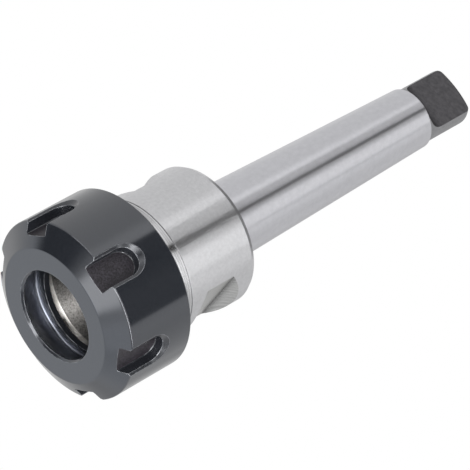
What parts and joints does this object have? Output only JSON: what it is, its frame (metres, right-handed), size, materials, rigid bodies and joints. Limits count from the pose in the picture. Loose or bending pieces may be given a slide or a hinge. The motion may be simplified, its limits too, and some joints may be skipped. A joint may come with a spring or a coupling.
{
  "type": "collet chuck holder",
  "caption": "Tapered shank tool holder with a tang, a collar with wrench flats and a slotted clamping nut over its conical collet socket.",
  "frame": {"origin": "centre of the clamping nut's flat front face, on which the holder stands", "axes": "+Z along the common axis, from the nut to the tang; the tang's flats face +Y and -Y, the collar's wrench flats +X and -X"},
  "size_m": [0.042, 0.042, 0.1236],
  "materials": {
    "ground_steel": "finely ground, with a rough milled tang",
    "blackened_steel": "turned and blackened, satin"
  },
  "bodies": {
    "holder": {"holder_body": "ground_steel"},
    "nut": {"clamping_nut": "blackened_steel"}
  },
  "joints": [
    {"name": "nut_spin", "type": "hinge", "parent": "holder", "child": "nut", "pos_m": [0, 0, 0.01545], "axis": [0, 0, 1], "continuous": true}
  ]
}
